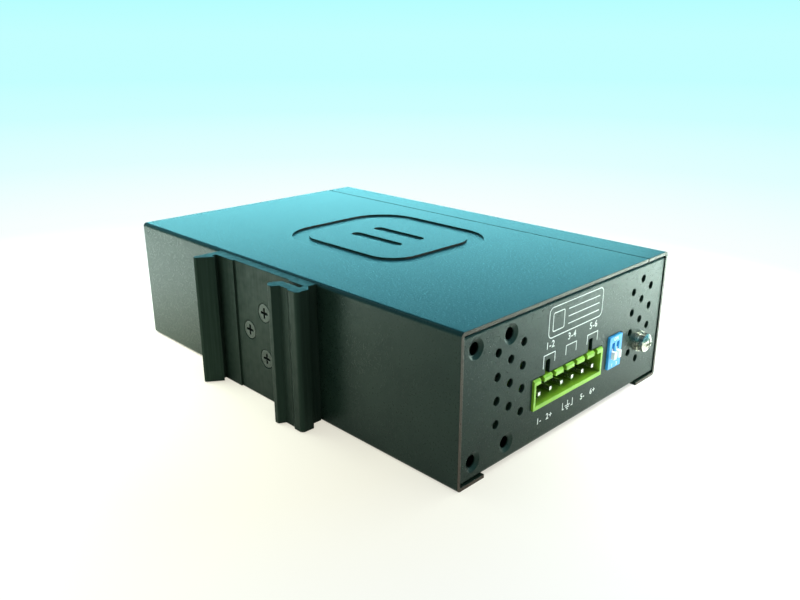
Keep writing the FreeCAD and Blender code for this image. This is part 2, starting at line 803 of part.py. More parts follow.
def make_clip_fasteners():
    cross = ("cross_wide", "cross_long", "cross_deep")
    screws = []
    nuts = []
    for index, (x, z) in enumerate(CLIP_SCREWS):
        screws.append(sunk_screw(f"clip_screw_{index}", "Y", (x, "clip_pad + head_below", z), "screw_head",
                                 "screw_shank", "head_angle_depth", "screw_long", cross))
        nut = hexagon(f"clip_nut_{index}", "Y", (x, "rear_face + steel", z), "nut_across", "nut_thick")
        hole = rod(f"clip_nut_hole_{index}", "Y", (x, "rear_face", z), "screw_shank / 2 + thread_gap",
                   "nut_thick + 2 * steel")
        nuts.append(cut(f"clip_nut_drilled_{index}", nut, [hole]))
    node(group("clip_screw_set", screws), "clip_screws")
    node(group("clip_nut_set", nuts), "clip_nuts")


def make_case_screws():
    cross = ("case_cross_wide", "case_cross_long", "case_cross_deep")
    screws = [sunk_screw(f"case_screw_{index}", "Z", (x, y, "base_face + head_below"), "case_screw_head",
                         "case_screw_shank", "steel", "case_screw_long", cross)
              for index, (x, y) in enumerate(REAR_CASE_SCREWS + FRONT_CASE_SCREWS)]
    node(group("case_screw_set", screws), "case_screws")


# ---- power end ----

def pin_places():
    return [f"header_y + ({index} - 2.5) * pin_pitch" for index in range(6)]


def make_terminal_header():
    """Shrouded six-way header: open box with a notched upper rim and floor keys."""
    body = new_body("header_body")
    base = new_sketch(body, "header_outline", "X", "header_back")
    rectangle(base, ("header_y - header_long / 2", "header_base"),
              ("header_y + header_long / 2", "header_top"))
    pad(body, base, "header_deep")
    cavity = new_sketch(body, "header_cavity_outline", "X", "header_face")
    rectangle(cavity, ("header_y - header_long / 2 + header_side", "header_base + header_floor"),
              ("header_y + header_long / 2 - header_side", "header_top - header_roof"))
    pocket(body, cavity, "header_cavity")
    notches = new_sketch(body, "header_notches", "X", "header_face")
    for y in pin_places():
        rectangle(notches, (f"{y} - header_notch / 2", "header_top - header_roof - 0.1"),
                  (f"{y} + header_notch / 2", "header_top + 0.1"))
    pocket(body, notches, "header_notch_deep")
    lead_in = new_sketch(body, "header_rim_bevel", "Y", "header_y - header_long / 2 - 1")
    outline(lead_in, [("header_face", "header_top - header_lead_in"), ("header_face", "header_top"),
                      ("header_face - header_lead_in", "header_top")])
    pocket(body, lead_in, "header_long + 2")
    holes = new_sketch(body, "header_pin_holes", "X", "header_face")
    for y in pin_places():
        rectangle(holes, (f"{y} - pin_thick / 2", "pin_z - pin_thick / 2"),
                  (f"{y} + pin_thick / 2", "pin_z + pin_thick / 2"))
    pocket(body, holes, "header_deep + 1")
    keys = new_sketch(body, "header_keys", "X", "header_face - header_cavity")
    for index in range(5):
        middle = f"header_y + ({index} - 2) * pin_pitch"
        rectangle(keys, (f"{middle} - header_key / 2", "header_base + header_floor / 2"),
                  (f"{middle} + header_key / 2", "header_base + header_floor + header_key_rise"))
    pad(body, keys, "header_cavity - header_key_short")
    node(body, "terminal_header")


def make_terminal_pins():
    """Square pins that leave the back of the header and turn down through the board."""
    pins = []
    for index, y in enumerate(pin_places()):
        low = f"{y} - pin_thick / 2"
        high = f"{y} + pin_thick / 2"
        run = block(f"pin_run_{index}", ("pin_leg", low, "pin_z - pin_thick / 2"),
                    ("header_face - pin_short", high, "pin_z + pin_thick / 2"))
        leg = block(f"pin_leg_{index}", ("pin_leg", low, "board_base - pin_tail"),
                    ("pin_leg + pin_thick", high, "pin_z + pin_thick / 2"))
        pins.append(fused(f"pin_{index}", [run, leg]))
    node(group("pin_set", pins), "terminal_pins")


def slider_places():
    return ["dip_y - dip_pitch / 2", "dip_y + dip_pitch / 2"]


def make_dip_switch():
    """Two-way slide switch block: body, a slider in each slot and four leads."""
    body = new_body("dip_body_body")
    base = new_sketch(body, "dip_outline", "X", "dip_back")
    rectangle(base, ("dip_y - dip_long / 2", "dip_base"), ("dip_y + dip_long / 2", "dip_base + dip_tall"))
    pad(body, base, "dip_deep")
    slots = new_sketch(body, "dip_slots", "X", "dip_face")
    for y in slider_places():
        rectangle(slots, (f"{y} - dip_slot_wide / 2", "slot_low"),
                  (f"{y} + dip_slot_wide / 2", "slot_low + dip_slot_tall"))
    pocket(body, slots, "dip_slot_deep")
    node(body, "dip_body")

    half = "(dip_slot_wide / 2 - slider_gap)"
    low = "slot_low + slider_gap"
    for index, y in enumerate(slider_places(), start=1):
        foot = block(f"slider_foot_{index}", ("dip_face - slider_deep", f"{y} - {half}", low),
                     ("dip_face - slider_step", f"{y} + {half}", f"{low} + slider_tall"))
        knob = block(f"slider_form_{index}", ("dip_face - slider_deep / 2", f"{y} - {half}", low),
                     ("dip_face + slider_proud", f"{y} + {half}", f"{low} + slider_tall * slider_knob"))
        node(fused(f"slider_{index}", [foot, knob]), f"dip_slider_{index}")

    leads = []
    for tag, leg_at, y, height in lead_places():
        side_low = f"{y} - lead_wide / 2"
        side_high = f"{y} + lead_wide / 2"
        run = block("lead_run_" + tag, (leg_at, side_low, height),
                    ("dip_back", side_high, f"{height} + lead_thick"))
        leg = block("lead_leg_" + tag, (leg_at, side_low, "board_base - pin_tail / 2"),
                    (f"{leg_at} + lead_thick", side_high, f"{height} + lead_thick"))
        leads.append(fused("lead_" + tag, [run, leg]))
    node(group("lead_set", leads), "dip_leads")


def lead_places():
    """Each lead of the switch block: its tag, where its leg stands, its way and its height."""
    return [(f"{row}{column}", f"dip_back - lead_first - {row} * lead_row", y,
             f"dip_base + lead_low + {row} * lead_rise")
            for row in (0, 1) for column, y in enumerate(slider_places())]


def make_ground_terminal():
    """Pan screw with a flat and a star washer, in a pressed nut behind the end wall."""
    place = ("ground_at_y", "ground_at_z")
    washer = rod("flat_washer_blank", "X", ("power_wall", *place), "washer_wide / 2", "washer_thick")
    hole = rod("flat_washer_hole", "X", ("power_wall - 1", *place), "screw_hole / 2", "washer_thick + 2")
    node(cut("flat_washer", washer, [hole]), "ground_washer")

    star = new_body("star_body")
    ring = new_sketch(star, "star_ring", "Z", "0")
    circle(ring, "0.0", "0.0", "star_wide / 2")
    circle(ring, "0.0", "0.0", "screw_hole / 2")
    pad(star, ring, "star_thick")
    notch = new_sketch(star, "star_notch_outline", "Z", "star_thick")
    root = "star_wide / 2 - star_notch"
    mouth = "star_wide / 2 + 1"
    outline(notch, [(root, "-star_root / 2"), (mouth, "-star_mouth / 2"),
                    (mouth, "star_mouth / 2"), (root, "star_root / 2")])
    first = pocket(star, notch, "star_thick")
    teeth = star.newObject("PartDesign::PolarPattern", "star_tooth_ring")
    teeth.Originals = [first]
    axis = next(f for f in star.Origin.OriginFeatures if f.Role == "Z_Axis")
    teeth.Axis = (axis, [""])
    teeth.Angle = 360
    teeth.Occurrences = SIZES["star_teeth"]
    star.Tip = teeth
    star.Placement.Rotation = TURN["X"]
    move_to(star, ("power_wall + washer_thick", *place))
    node(star, "ground_star_washer")

    crown = doc.addObject("Part::Sphere", "ground_crown_form")
    crown.setExpression("Radius", bound("ground_crown"))
    move_to(crown, ("ground_top - ground_crown", *place))
    drum = rod("ground_drum", "X", ("ground_seat", *place), "ground_head / 2", "ground_head_tall")
    head = doc.addObject("Part::MultiCommon", "ground_head_form")
    head.Shapes = [crown, drum]
    shank = rod("ground_shank_form", "X", ("ground_seat - ground_long", *place), "ground_shank / 2",
                "ground_long + 0.1")
    bars = []
    for index, (across, up) in enumerate((("cross_wide", "cross_long"), ("cross_long", "cross_wide"))):
        low = ("ground_top - cross_deep", f"ground_at_y - {across} / 2", f"ground_at_z - {up} / 2")
        high = ("ground_top + 1", f"ground_at_y + {across} / 2", f"ground_at_z + {up} / 2")
        bars.append(block(f"ground_bar_{index}", low, high))
    node(cut("ground_screw_form", fused("ground_blank", [head, shank]), bars), "ground_screw")

    nut_back = "power_wall - steel - nut_thick"
    nut = hexagon("ground_nut_form", "X", (nut_back, *place), "nut_across", "nut_thick")
    bore = rod("ground_nut_bore", "X", (f"{nut_back} - 1", *place), "ground_shank / 2 + thread_gap",
               "nut_thick + 2")
    node(cut("ground_nut_cut", nut, [bore]), "ground_nut")


# ---- board and what stands on it ----

def board_holes():
    """A standoff near each corner of the board's open half."""
    return [(x, y) for x in ("board_far + standoff_inset", "board_power - standoff_inset - post_from_power")
            for y in ("board_rear + standoff_inset - post_from_rear", "board_front - post_from_front")]


def make_board():
    plate = block("board_plate", ("board_far", "board_rear", "board_base"),
                  ("board_power", "board_front", "board_face"))
    tools = [rod(f"board_hole_{index}", "Z", (x, y, "board_base - 1"), "board_hole / 2", "board_thick + 2")
             for index, (x, y) in enumerate(board_holes())]
    legs = [(f"pin_{index}", "pin_leg", "pin_thick", y, "pin_thick")
            for index, y in enumerate(pin_places())]
    legs += [("lead_" + tag, leg_at, "lead_thick", y, "lead_wide") for tag, leg_at, y, _ in lead_places()]
    for name, start, deep, y, wide in legs:
        tools.append(block(f"board_slot_{name}",
                           (f"{start} - leg_gap", f"{y} - {wide} / 2 - leg_gap", "board_base - 1"),
                           (f"{start} + {deep} + leg_gap", f"{y} + {wide} / 2 + leg_gap", "board_face + 1")))
    node(cut("board_drilled", plate, tools), "main_board")

    posts = []
    screws = []
    for index, (x, y) in enumerate(board_holes()):
        tall = "board_base - (chassis_floor)"
        post = hexagon(f"post_{index}", "Z", (x, y, "chassis_floor"), "standoff_across", tall)
        bore = rod(f"post_bore_{index}", "Z", (x, y, "chassis_floor + standoff_floor"),
                   "screw_shank / 2 + thread_gap", tall)
        posts.append(cut(f"post_drilled_{index}", post, [bore]))
        head = rod(f"board_screw_head_{index}", "Z", (x, y, "board_face"), "screw_head / 2",
                   "board_screw_head")
        shank = rod(f"board_screw_shank_{index}", "Z", (x, y, "board_face - board_screw_long"),
                    "screw_shank / 2", "board_screw_long + board_screw_head / 2")
        screws.append(fused(f"board_screw_{index}", [head, shank]))
    node(group("post_set", posts), "board_standoffs")
    node(group("board_screw_set", screws), "board_screws")


def port_places():
    """Each port's middle along X, the low edge of its mouth and the side its latch is on."""
    places = []
    for column in range(4):
        x = f"jack_far + jack_wall + ({column} + 0.5) * jack_pitch"
        places.append((x, "jack_base + port_low", -1))
        places.append((x, "jack_base + port_low + jack_row_rise", 1))
    return places


def shell_box(name, grown):
    """The jack block's outline, grown all round."""
    return block(name, tuple(f"{place} - ({grown})" for place in ("jack_far", "jack_back", "jack_base")),
                 tuple(f"{place} + ({grown})" for place in ("jack_far + jack_long", "jack_face", "jack_top")))


def make_jacks():
    """Two rows of four modular jacks in one moulding, the lower latches down and the upper ones up."""
    housing = shell_box("jack_block", "0")
    cavities = []
    windows = []
    contacts = []
    for index, (x, low, latch) in enumerate(port_places()):
        half = "port_wide / 2"
        cavities.append(block(f"port_{index}", (f"{x} - {half}", "jack_face - port_deep", low),
                              (f"{x} + {half}", "jack_face + 1", f"{low} + port_tall")))
        edge = f"{low} - latch_tall" if latch < 0 else f"{low} + port_tall - 0.1"
        cavities.append(block(f"latch_{index}",
                              (f"{x} - latch_wide / 2", "jack_face - port_deep + latch_short", edge),
                              (f"{x} + latch_wide / 2", "jack_face + 1", f"{edge} + latch_tall + 0.1")))
        mouth_low = f"{low} - latch_tall - mouth_gap" if latch < 0 else f"{low} - mouth_gap"
        windows.append(block(f"window_{index}", (f"{x} - {half} - mouth_gap", "jack_face - 1", mouth_low),
                             (f"{x} + {half} + mouth_gap", "jack_face + 2",
                              f"{mouth_low} + port_tall + latch_tall + 2 * mouth_gap")))
        contacts += [contact_wire(x, low, latch, position) for position in range(8)]
    node(cut("jack_housing_cut", housing, cavities), "jack_housing")
    shell_in = shell_box("shield_in", "shield_gap")
    shell_out = shell_box("shield_out", "shield + shield_gap")
    node(cut("jack_shield_cut", shell_out, [shell_in] + windows), "jack_shield")
    wires = doc.addObject("Part::Feature", "contact_wires")
    wires.Shape = Part.makeCompound(contacts)
    node(wires, "jack_contacts")


def contact_wire(x, low, latch, position):
    """A spring wire that rises from the wall across from the latch towards the back of the port."""
    thick = number("contact_thick")
    left = number(x) + (position - 3.5) * number("contact_pitch") - thick / 2
    front = number("jack_face - contact_front")
    back = number("jack_face - contact_back")
    wall = number(low) + (number("port_tall") if latch < 0 else 0.0)
    foot = number("contact_foot")
    rise = number("contact_rise")
    run = [(front, foot), (back, rise), (back, rise + thick), (front, foot + thick)]
    corners = [FreeCAD.Vector(left, y, wall + latch * lift) for y, lift in run]
    face = Part.Face(Part.makePolygon(corners + corners[:1]))
    return face.extrude(FreeCAD.Vector(thick, 0, 0))


def lamp_places():
    """Two rows of lamps, one above the other."""
    return [(f"far_face + lamp_first + {column} * lamp_pitch", f"board_face + lamp_low + {row} * lamp_rise")
            for column in range(SIZES["lamp_count"]) for row in (0, 1)]


def make_lamps():
    """Light pipes that run from their holders out through the front panel's windows."""
    pipes = [block(f"lamp_{index}", (f"{x} - lamp_wide / 2", "holder_face", f"{z} - lamp_tall / 2"),
                   (f"{x} + lamp_wide / 2", "front_face + lamp_proud", f"{z} + lamp_tall / 2"))
             for index, (x, z) in enumerate(lamp_places())]
    holders = [block(f"holder_{column}",
                     (f"{x} - holder_wide / 2", "holder_face - holder_deep", "board_face"),
                     (f"{x} + holder_wide / 2", "holder_face", "board_face + holder_tall"))
               for column, (x, _) in enumerate(lamp_places()[::2])]
    node(group("holder_set", holders), "lamp_holders")
    node(group("lamp_set", pipes), "lamps")


def on_board(name, shift="0"):
    """A block part on the board, from its sizes in the sheet."""
    left = f"case_mid_x + {name}_x + ({shift})"
    rear = f"rear_face + {name}_y"
    return block(f"{name}_at_{shift[:1]}", (left, rear, "board_face"),
                 (f"{left} + {name}_long", f"{rear} + {name}_wide", f"board_face + {name}_tall"))


def make_heat_sink():
    """A square base with upright fins, cut by a row of equal slots."""
    left = "case_mid_x + switch_chip_x - sink_overlap"
    rear = "rear_face + switch_chip_y - sink_overlap"
    long = "(switch_chip_long + 2 * sink_overlap)"
    base = "board_face + switch_chip_tall"
    pitch = f"{long} / sink_fins"
    body = new_body("heat_sink_body")
    outside = new_sketch(body, "sink_outline", "Z", base)
    rectangle(outside, (left, rear), (f"{left} + {long}", f"{rear} + switch_chip_wide + 2 * sink_overlap"))
    pad(body, outside, "sink_tall")
    slot = new_sketch(body, "sink_slot", "Z", f"{base} + sink_tall")
    rectangle(slot, (f"{left} + fin_thick", f"{rear} - 1"),
              (f"{left} + {pitch}", f"{rear} + switch_chip_wide + 2 * sink_overlap + 1"))
    first = pocket(body, slot, "sink_tall - sink_base")
    row = body.newObject("PartDesign::LinearPattern", "sink_slots")
    row.Originals = [first]
    axis = next(f for f in body.Origin.OriginFeatures if f.Role == "X_Axis")
    row.Direction = (axis, [""])
    row.setExpression("Length", bound(f"{pitch} * (sink_fins - 2)"))
    row.Occurrences = SIZES["sink_fins"] - 1
    body.Tip = row
    doc.recompute()
    node(body, "heat_sink")


def make_components():
    for name in ("switch_chip", "power_module", "alarm_relay", "power_inductor", "fuse", "crystal"):
        node(on_board(name), name)
    coils = [on_board("line_transformer", f"{column} * jack_pitch") for column in range(4)]
    node(group("line_transformer_set", coils), "line_transformers")
    cans = [rod(f"can_{index}", "Z", (f"case_mid_x + can_from_middle + {index} * can_pitch",
                                      "rear_face + can_from_rear", "board_face"), "can_radius", "can_tall")
            for index in range(SIZES["can_count"])]
    node(group("can_set", cans), "capacitors")
    make_heat_sink()


def main():
    make_chassis()
    make_cover()
    make_front_panel()
    make_din_clip()
    make_clip_fasteners()
    make_case_screws()
    make_terminal_header()
    make_terminal_pins()
    make_dip_switch()
    make_ground_terminal()
    make_board()
    make_jacks()
    make_lamps()
    make_components()
    doc.recompute()

    for item in doc.Objects:
        if "Invalid" in item.State or "Error" in item.State:
            raise RuntimeError(f"{item.Label} did not build: {item.State}")
    for item in nodes:
        if item.Shape.isNull() or not item.Shape.isValid():
            raise RuntimeError(f"{item.Label} has no valid shape")

    os.makedirs("parts", exist_ok=True)
    for item in nodes:
        item.Shape.exportStep(f"parts/{item.Label}.step")
        print(f"{item.Label}: {len(item.Shape.Solids)} solids, {item.Shape.Volume:.1f} mm3")


main()
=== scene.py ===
"""The looks of a switch for a DIN rail: finishes, print, floor, light and camera."""

import math

import bmesh
import bpy
from mathutils import Matrix, Vector


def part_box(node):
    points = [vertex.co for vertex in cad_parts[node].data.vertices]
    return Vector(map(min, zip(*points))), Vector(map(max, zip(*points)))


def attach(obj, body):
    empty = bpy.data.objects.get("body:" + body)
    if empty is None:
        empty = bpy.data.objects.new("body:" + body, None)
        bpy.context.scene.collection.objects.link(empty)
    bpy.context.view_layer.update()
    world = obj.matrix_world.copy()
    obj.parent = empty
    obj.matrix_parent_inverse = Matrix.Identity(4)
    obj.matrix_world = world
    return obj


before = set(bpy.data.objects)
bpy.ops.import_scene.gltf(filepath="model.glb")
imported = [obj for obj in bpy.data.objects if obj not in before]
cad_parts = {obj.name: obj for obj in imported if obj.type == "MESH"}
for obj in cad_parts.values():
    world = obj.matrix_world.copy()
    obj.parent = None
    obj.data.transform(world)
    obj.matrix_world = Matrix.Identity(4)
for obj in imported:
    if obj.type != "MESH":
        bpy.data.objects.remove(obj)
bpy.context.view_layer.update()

MM = 0.001
CASE = "case"                        # the body that carries everything but the two sliders

cover_low, cover_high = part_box("cover")
dip_low, dip_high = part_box("dip_body")
floor_level = cover_low.z
power_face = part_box("chassis")[1].x  # outer face of the power end wall


# ---------------------------------------------------------------- node helpers

# Occlusion levels for the painted shade in hollows: the shade is full at the first level and gone at the
# second.
CLOSED_IN = 0.15                     # how much of its surroundings a deep corner sees
OPEN_OUT = 0.75                      # and how much an open face sees


def add_node(tree, kind, **settings):
    """A new node in the tree, with its settings."""
    made = tree.nodes.new(kind)
    for key, value in settings.items():
        setattr(made, key, value)
    return made


class Finish:
    """A material with one Principled surface, and short calls for the nodes that feed it."""

    def __init__(self, name, color, roughness, metallic=0.0, ior=1.5, **sockets):
        self.material = bpy.data.materials.new(name)
        self.material.use_nodes = True
        self.tree = self.material.node_tree
        self.surface = self.tree.nodes["Principled BSDF"]
        self.put("Base Color", (*color, 1.0))
        self.put("Roughness", roughness)
        self.put("Metallic", metallic)
        self.put("IOR", ior)
        for socket, value in sockets.items():
            self.put(socket.replace("_", " "), value)
        self.height = None

    def put(self, socket, value):
        self.surface.inputs[socket].default_value = value

    def node(self, kind, **settings):
        return add_node(self.tree, kind, **settings)

    def link(self, source, target):
        self.tree.links.new(source, target)

    def place(self, stretch=(1, 1, 1)):
        """The point on the surface in metres, each axis multiplied by its stretch."""
        where = self.node("ShaderNodeTexCoord")
        scaled = self.node("ShaderNodeMapping")
        scaled.inputs["Scale"].default_value = stretch
        self.link(where.outputs["Object"], scaled.inputs["Vector"])
        return scaled.outputs["Vector"]

    def noise(self, size, detail=2.0, stretch=(1, 1, 1)):
        """A noise field whose spots are about `size` across, in metres."""
        made = self.node("ShaderNodeTexNoise")
        made.inputs["Scale"].default_value = 1.0 / size
        made.inputs["Detail"].default_value = detail
        self.link(self.place(stretch), made.inputs["Vector"])
        return made.outputs["Fac"]

    def cells(self, size):
        """A field of rounded cells about `size` across, in metres."""
        made = self.node("ShaderNodeTexVoronoi", feature="SMOOTH_F1")
        made.inputs["Scale"].default_value = 1.0 / size
        self.link(self.place(), made.inputs["Vector"])
        return made.outputs["Distance"]

    def spread(self, field, low, high, first=0.3, last=0.7):
        """The field's range first..last drawn out to low..high."""
        made = self.node("ShaderNodeMapRange")
        for key, value in (("From Min", first), ("From Max", last), ("To Min", low), ("To Max", high)):
            made.inputs[key].default_value = value
        self.link(field, made.inputs["Value"])
        return made.outputs["Result"]

    def blend_color(self, field, low, high, first=0.3, last=0.7):
        """Base colour from low to high as the field goes from first to last."""
        made = self.node("ShaderNodeMix", data_type="RGBA")
        self.link(self.spread(field, 0.0, 1.0, first, last), made.inputs["Factor"])
        made.inputs["A"].default_value = (*low, 1.0)
        made.inputs["B"].default_value = (*high, 1.0)
        self.link(made.outputs["Result"], self.surface.inputs["Base Color"])
        return made.outputs["Result"]

    def paint_shade_in_hollows(self, reach, share):
        """Painted shade: base colour falls to the given share of itself where walls within reach close
        round it.
        """
        color = self.surface.inputs["Base Color"].links[0].from_socket
        closed = self.node("ShaderNodeAmbientOcclusion", samples=8)
        closed.inputs["Distance"].default_value = reach
        shade = self.spread(closed.outputs["AO"], share, 1.0, CLOSED_IN, OPEN_OUT)
        scaled = self.node("ShaderNodeVectorMath", operation="SCALE")
        self.link(color, scaled.inputs["Vector"])
        self.link(shade, scaled.inputs["Scale"])
        self.link(scaled.outputs["Vector"], self.surface.inputs["Base Color"])

    def vary_roughness(self, field, low, high):
        self.link(self.spread(field, low, high), self.surface.inputs["Roughness"])

    def bump(self, field, height):
        """Relief of the given height in metres, added to any relief already there."""
        made = self.node("ShaderNodeBump")
        made.inputs["Distance"].default_value = height
        self.link(field, made.inputs["Height"])
        if self.height is not None:
            self.link(self.height, made.inputs["Normal"])
        self.height = made.outputs["Normal"]
        self.link(self.height, self.surface.inputs["Normal"])

    def soft_edges(self, radius):
        """Edges that catch the light as if rounded by the given radius."""
        made = self.node("ShaderNodeBevel", samples=6)
        made.inputs["Radius"].default_value = radius
        self.height = made.outputs["Normal"]
        self.link(self.height, self.surface.inputs["Normal"])


# ---------------------------------------------------------------- finishes

FACES_ALONG_X = (0.9, 0.95)          # X part of a normal at which the cut edge's colour starts and is full


def black_steel(name, cut_edges):
    """Satin powder coat with fine orange peel. Cut edges that face along X can be browner."""
    made = Finish(name, (0.008, 0.015, 0.011), 0.36, ior=1.29, Specular_Tint=(0.72, 1.0, 0.93, 1.0))
    made.soft_edges(0.25 * MM)
    coat = made.blend_color(made.noise(9 * MM, 4.0), (0.005, 0.012, 0.008), (0.009, 0.018, 0.012))
    if cut_edges:
        facing = made.node("ShaderNodeSeparateXYZ")
        made.link(made.node("ShaderNodeTexCoord").outputs["Normal"], facing.inputs["Vector"])
        along = made.node("ShaderNodeMath", operation="ABSOLUTE")
        made.link(facing.outputs["X"], along.inputs[0])
        edge = made.blend_color(along.outputs[0], (0, 0, 0), (0.055, 0.036, 0.026), *FACES_ALONG_X)
        made.link(coat, edge.node.inputs["A"])
    made.vary_roughness(made.noise(0.5 * MM, 2.0), 0.25, 0.42)
    made.bump(made.cells(0.45 * MM), 0.009 * MM)
    made.bump(made.noise(0.25 * MM, 2.0), 0.014 * MM)
    return made.material


def black_aluminium():
    """Black anodised extrusion with faint die lines along its length."""
    made = Finish("black_aluminium", (0.010, 0.014, 0.012), 0.46, ior=1.23,
                  Specular_Tint=(0.6, 1.0, 0.75, 1.0))
    made.soft_edges(0.2 * MM)
    lines = made.noise(0.5 * MM, 3.0, stretch=(1, 1, 0.02))
    made.blend_color(lines, (0.006, 0.011, 0.007), (0.011, 0.018, 0.013))
    made.vary_roughness(made.noise(2 * MM, 3.0), 0.4, 0.54)
    made.bump(lines, 0.01 * MM)
    return made.material


def black_screw():
    """Black oxide steel, brighter in random patches."""
    made = Finish("black_screw", (0.03, 0.036, 0.033), 0.3, ior=1.34, Specular_Tint=(0.75, 1.0, 0.85, 1.0))
    made.soft_edges(0.25 * MM)
    made.blend_color(made.noise(0.8 * MM, 4.0), (0.008, 0.012, 0.009), (0.026, 0.033, 0.027))
    made.bump(made.noise(0.3 * MM, 2.0), 0.01 * MM)
    return made.material


def plated(name, dark, light, roughness, grain):
    """A plated metal: dark and light patches, and a grain of the given size."""
    made = Finish(name, light, roughness, metallic=1.0)
    made.blend_color(made.noise(grain * 4, 4.0), dark, light)
    made.vary_roughness(made.noise(grain, 3.0), roughness * 0.8, roughness * 1.3)
    made.bump(made.noise(grain, 2.0), 0.008 * MM)
    return made.material


# How far the painted shade in hollows looks for walls.
SHADE_REACH = 9 * MM                # about the depth of the header's recess


def moulded(name, dark, light, roughness, glow=0.0, hollow_shade=1.0):
    """A moulded plastic: slight flow shading and fine grain.

    glow is the light it lets through; the last argument is the share of its colour that painted shade
    leaves deep in its recesses.
    """
    made = Finish(name, light, roughness)
    made.soft_edges(0.12 * MM)
    made.blend_color(made.noise(3 * MM, 3.0), dark, light)
    # Painted shade: the colour darkens deep in recesses.
    if hollow_shade < 1.0:
        made.paint_shade_in_hollows(SHADE_REACH, hollow_shade)
    made.vary_roughness(made.noise(1.2 * MM, 3.0), roughness * 0.85, roughness * 1.15)
    made.bump(made.noise(0.35 * MM, 2.0), 0.008 * MM)
    if glow:
        made.put("Subsurface Weight", glow)
        made.put("Subsurface Radius", (0.8, 1.0, 0.4))
        made.put("Subsurface Scale", 0.6 * MM)
    return made.material


def board_laminate():
    """Solder mask over copper: traces show as a lighter, raised net."""
    made = Finish("board_laminate", (0.012, 0.085, 0.035), 0.28)
    tracks = made.node("ShaderNodeTexBrick", offset=0.35, squash=0.7)
    tracks.inputs["Scale"].default_value = 1.0 / (4 * MM)
    tracks.inputs["Mortar Size"].default_value = 0.06
    made.link(made.place(), tracks.inputs["Vector"])
    made.blend_color(tracks.outputs["Fac"], (0.010, 0.070, 0.030), (0.030, 0.150, 0.060), 0.0, 1.0)
    made.bump(tracks.outputs["Fac"], 0.03 * MM)
    made.bump(made.noise(0.4 * MM, 2.0), 0.006 * MM)
    return made.material


def bare_aluminium():
    """Mill finish, drawn lengthwise."""
    made = Finish("bare_aluminium", (0.62, 0.64, 0.65), 0.38, metallic=1.0)
    lines = made.noise(0.3 * MM, 3.0, stretch=(0.03, 1, 1))
    made.blend_color(lines, (0.50, 0.52, 0.53), (0.70, 0.72, 0.73))
    made.bump(lines, 0.01 * MM)
    return made.material


def white_print():
    """Screen-printed ink: thin, slightly uneven white."""
    made = Finish("white_print", (0.72, 0.76, 0.72), 0.55)
    made.blend_color(made.noise(0.25 * MM, 2.0), (0.48, 0.52, 0.49), (0.80, 0.83, 0.80), 0.25, 0.5)
    made.bump(made.noise(0.15 * MM, 1.0), 0.005 * MM)
    return made.material


def dress_nodes():
    """Gives each CAD node its finish."""
    coat = black_steel("black_steel", False)
    wrap = black_steel("black_steel_wrap", True)
    zinc = plated("zinc_steel", (0.42, 0.43, 0.42), (0.62, 0.63, 0.62), 0.38, 0.6 * MM)
    tin = plated("tinned_pin", (0.62, 0.62, 0.60), (0.80, 0.80, 0.78), 0.22, 0.4 * MM)
    nickel = plated("bright_nickel", (0.30, 0.28, 0.22), (0.72, 0.70, 0.62), 0.26, 0.5 * MM)
    white = moulded("white_plastic", (0.74, 0.75, 0.72), (0.84, 0.84, 0.81), 0.42, glow=0.1)
    black = moulded("black_plastic", (0.018, 0.019, 0.019), (0.032, 0.033, 0.033), 0.5)
    black_metal = black_screw()
    blue = moulded("blue_plastic", (0.035, 0.30, 0.66), (0.055, 0.40, 0.80), 0.36)
    finishes = {
        "chassis": coat, "cover": wrap, "front_panel": wrap,
        "din_clip": black_aluminium(),
        "clip_screws": black_metal, "case_screws": black_metal,
        "clip_nuts": zinc, "ground_nut": zinc, "board_standoffs": zinc, "board_screws": zinc,
        # The terminal header's recess is darkened with painted shade.
        "terminal_header": moulded("green_plastic", (0.20, 0.44, 0.022), (0.28, 0.54, 0.036), 0.36,
                                   glow=0.05, hollow_shade=0.2),
        "terminal_pins": tin, "dip_leads": tin,
        "dip_body": blue,
        "dip_slider_1": white, "dip_slider_2": white, "alarm_relay": white, "fuse": white,
        "ground_screw": nickel, "ground_washer": nickel, "ground_star_washer": nickel,
        "main_board": board_laminate(),
        "jack_housing": black, "lamp_holders": black, "switch_chip": black,
        "line_transformers": black, "power_module": black,
        "jack_shield": plated("tinned_sheet", (0.32, 0.32, 0.31), (0.52, 0.52, 0.50), 0.34, 0.8 * MM),
        "jack_contacts": plated("gilt_contact", (0.75, 0.52, 0.18), (0.88, 0.68, 0.30), 0.2, 0.4 * MM),
        "lamps": moulded("lamp_lens", (0.34, 0.52, 0.20), (0.46, 0.64, 0.30), 0.2, glow=0.4),
        "heat_sink": bare_aluminium(),
        "power_inductor": moulded("dark_ferrite", (0.035, 0.035, 0.038), (0.06, 0.06, 0.064), 0.6),
        "capacitors": moulded("capacitor_sleeve", (0.020, 0.026, 0.050), (0.034, 0.042, 0.075), 0.24),
    }
    finishes["crystal"] = finishes["jack_shield"]
    for name, finish in finishes.items():
        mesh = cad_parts[name].data
        mesh.materials.clear()
        mesh.materials.append(finish)


# ---------------------------------------------------------------- print on the power end

PRINT_THICK = 0.03 * MM
PRINT_STEP = 0.01 * MM               # the ink starts this far off the wall, clear of it
STROKE = 0.28 * MM
SHARPEST_MITRE = 0.5                 # keeps a sharp corner's joint from running out

# Places on the power end in mm: along Y from its rear edge, and up from its lower edge.
RULED_FRAME = ((34.5, 29.6), (59.9, 37.9))
RULED_SQUARE = ((36.3, 31.2), (41.3, 36.2))
RULED_LINES = (43.2, 58.2, (31.6, 33.7, 35.8))              # their ends, and how far up each is
BRACKET_TOP = 25.3
BRACKET_FOOT = 22.6
